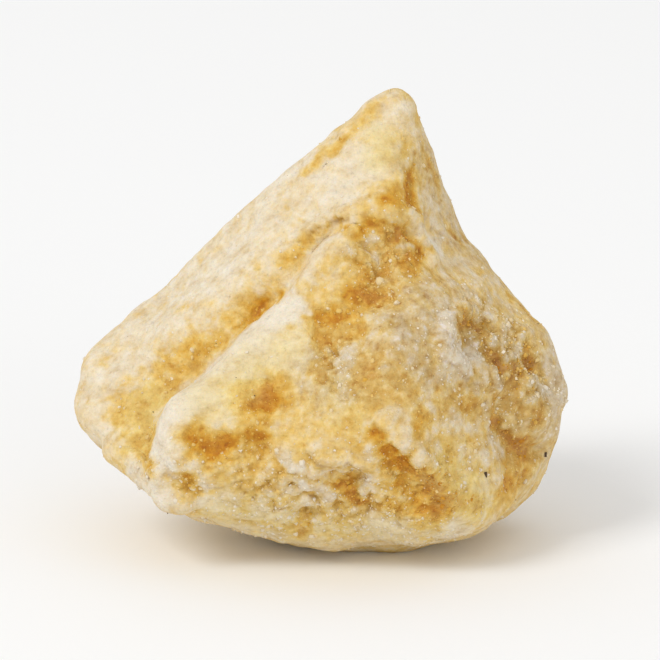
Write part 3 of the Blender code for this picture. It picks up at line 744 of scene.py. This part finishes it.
# paler lifts a crystal's colour above the film it sits on: paler sugar, and at its upper end painted glints of light on
# the crystals
sugarCrystals = {
    "count": 8000, "sizes": (0.09, 0.30), "stretch": (0.6, 1.4), "lift": (-0.6, 0.0), "seed": 5,
    "paler": (-0.05, 0.48), "colours": jaggery["colours"], "roughness": 0.22,
}
powderCrumbs = {
    "count": 2000, "sizes": (0.13, 0.46), "stretch": (0.6, 1.4), "lift": (-0.7, -0.2), "seed": 6,
    "paler": (0.0, 0.35), "colours": jaggery["colours"], "roughness": 0.85,
}
caneSpecks = {
    "count": 40, "sizes": (0.05, 0.10), "stretch": (0.5, 2.2), "lift": (0.1, 0.6), "seed": 8,
    "paler": (-0.2, 0.4), "roughness": 0.6,
    "colours": ((0.00, (0.055, 0.026, 0.006)), (0.50, (0.10, 0.055, 0.02)), (1.00, (0.24, 0.15, 0.06))),
    "named": {"low": ((21.7, -16.8, 13.3), (0.32, 0.30, 0.60)), "edge": ((30.3, -5.4, 12.8), (0.28, 0.26, 0.55))},
}


def scatteredGrains(facts, side, density, named=()):
    # small closed shapes (a cube-sphere with so many squares a side) set on the lump's surface: each is
    # stretched, turned at random, and sunk or lifted by a share of its size
    rng = np.random.default_rng(facts["seed"])
    shape, shapeFaces, same, first = cubeGrid(side)
    across = faceAcross(points, faces)
    share = np.cumsum(np.linalg.norm(across, axis=1) * density[faces].mean(axis=1))
    chosen = np.searchsorted(share, rng.random(facts["count"]) * share[-1])
    u, v = rng.random((2, len(chosen), 1))
    a, b, c, d = (points[faces[chosen, corner]] for corner in range(4))
    spots = (a * (1 - u) + b * u) * (1 - v) + (d * (1 - u) + c * u) * v
    small, large = facts["sizes"]
    sizes = small + (large - small) * rng.random(len(chosen)) ** 2.5
    stretch = rng.uniform(*facts["stretch"], (len(chosen), 1, 3))
    lumps = rng.uniform(0.65, 1.2, (len(chosen), len(shape), 1))
    w, x, y, z = unitVectors(rng.normal(size=(len(chosen), 4))).T
    turns = np.array([[1 - 2 * (y * y + z * z), 2 * (x * y - z * w), 2 * (x * z + y * w)],
                      [2 * (x * y + z * w), 1 - 2 * (x * x + z * z), 2 * (y * z - x * w)],
                      [2 * (x * z - y * w), 2 * (y * z + x * w), 1 - 2 * (x * x + y * y)]]).transpose(2, 0, 1)
    lift = rng.uniform(*facts["lift"], len(chosen)) * sizes
    centres = spots + unitVectors(across[chosen]) * lift[:, None]
    grains = (shape * lumps * stretch) @ turns * sizes[:, None, None] + centres[:, None]
    shades = cover[faces[chosen, 0]] + rng.uniform(*facts["paler"], len(chosen))
    for place, halves in named:
        nearest = points[np.argmin(np.linalg.norm(points - np.array(place), axis=1))]
        grains = np.concatenate([grains, (shape * np.array(halves) + nearest)[None]])
        shades = np.append(shades, 0.0)
    grainFaces = shapeFaces + np.arange(len(grains))[:, None, None] * len(shape)
    grains[:, :, 2] = np.maximum(grains[:, :, 2], 0.0)
    return grains.reshape(-1, 3), grainFaces.reshape(-1, 4), np.repeat(shades, len(shape))


def grainMaterial(name, facts):
    material = bpy.data.materials.new(name)
    material.use_nodes = True
    tree = material.node_tree
    shader = tree.nodes["Principled BSDF"]
    place = addNode(tree, "ShaderNodeTexCoord").outputs["Object"]
    shade = addNode(tree, "ShaderNodeAttribute", attribute_name="shade").outputs["Fac"]
    tone = weighedSum(tree, -0.15, [(shade, 1.0), (grainNoise(tree, place, 0.3, 2.0, 0.7), 0.3)])
    colour = ramp(tree, tone, facts["colours"])
    tree.links.new(colour, shader.inputs["Base Color"])
    shader.inputs["Roughness"].default_value = facts["roughness"]
    bump = addNode(tree, "ShaderNodeBump")
    bump.inputs["Strength"].default_value = 0.3
    bump.inputs["Distance"].default_value = 0.1 * mm
    tree.links.new(grainNoise(tree, place, 0.12, 1.0), bump.inputs["Height"])
    tree.links.new(bump.outputs["Normal"], shader.inputs["Normal"])
    return material


def addGrains(name, finish, facts, side, smooth, density, named=()):
    grains, grainFaces, shades = scatteredGrains(facts, side, density, named)
    piece = meshFrom(name, grains, grainFaces, smooth, {"shade": shades})
    piece.data.materials.append(grainMaterial(finish, facts))
    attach(piece, "root")
    print(name + ":", len(piece.data.polygons), "faces")


clear = smoothStep(1.0, 2.5, points[:, 2])   # nothing is strewn on the underside
open_ = smoothStep(0.55, 0.15, cover)
addGrains("sugarCrystals", "crystalSugar", sugarCrystals, 1, False, clear * (0.05 + 0.9 * open_ + 1.0 * rough))
addGrains("powderCrumbs", "clottedPowder", powderCrumbs, 2, True,
          clear * (0.03 + 0.45 * open_ + 0.9 * rough + 0.8 * smoothStep(14.0, 4.0, points[:, 2])))
addGrains("caneSpecks", "caneBark", caneSpecks, 1, False, clear, caneSpecks["named"].values())


studio = {
    "camera": {"target": (1.2, 7.2, 26.8), "distance": 600.0, "elevation": 15.0, "lens": 240.0},
    "floorColour": (0.95, 0.95, 0.945),
    "floorRadius": 6.0,
    "sky": 0.74,
    "lights": {  # place in metres, side in metres, power in watts
        "keyLeft": ((-1.65, -1.35, 2.25), 1.1, 34.0),
        "fillRight": ((1.6, -3.0, 0.62), 2.2, 20.0),
    },
}


def addCamera():
    facts = studio["camera"]
    lift = np.radians(facts["elevation"])
    away = np.array([0.0, -np.cos(lift), np.sin(lift)])
    camera = bpy.data.objects.new("camera", bpy.data.cameras.new("camera"))
    bpy.context.scene.collection.objects.link(camera)
    camera.location = Vector((np.array(facts["target"]) + away * facts["distance"]) * mm)
    camera.rotation_euler = (np.radians(90.0) - lift, 0.0, 0.0)
    camera.data.lens = facts["lens"]
    camera.data.sensor_width = 36.0
    camera.data.clip_start = 0.01
    bpy.context.scene.camera = camera


def addLights():
    for name, (place, side, power) in studio["lights"].items():
        light = bpy.data.lights.new(name, "AREA")
        light.size, light.energy = side, power
        holder = bpy.data.objects.new(name, light)
        bpy.context.scene.collection.objects.link(holder)
        holder.location = place
        aimAt = Vector((0.0, 0.0, 0.025)) - Vector(place)
        holder.rotation_euler = aimAt.to_track_quat("-Z", "Y").to_euler()
        holder.visible_camera = False
    world = bpy.data.worlds.new("studioSky")
    world.use_nodes = True
    sky = world.node_tree.nodes["Background"]
    sky.inputs["Color"].default_value = (1.0, 1.0, 1.0, 1.0)
    sky.inputs["Strength"].default_value = studio["sky"]
    bpy.context.scene.world = world


def addFloor():
    turns = np.linspace(0.0, 2.0 * np.pi, 64, endpoint=False)
    rim = np.stack([np.cos(turns), np.sin(turns), np.zeros(64)], -1) * studio["floorRadius"]
    mesh = bpy.data.meshes.new("floor")
    mesh.from_pydata(rim, [], [list(range(64))])
    floor = bpy.data.objects.new("floor", mesh)
    bpy.context.scene.collection.objects.link(floor)
    material = bpy.data.materials.new("paleFloor")
    material.use_nodes = True
    shader = material.node_tree.nodes["Principled BSDF"]
    shader.inputs["Base Color"].default_value = (*studio["floorColour"], 1.0)
    shader.inputs["Roughness"].default_value = 0.9
    mesh.materials.append(material)


addCamera()
addLights()
addFloor()
bpy.context.scene.view_settings.view_transform = "Standard"
print("studio ready")
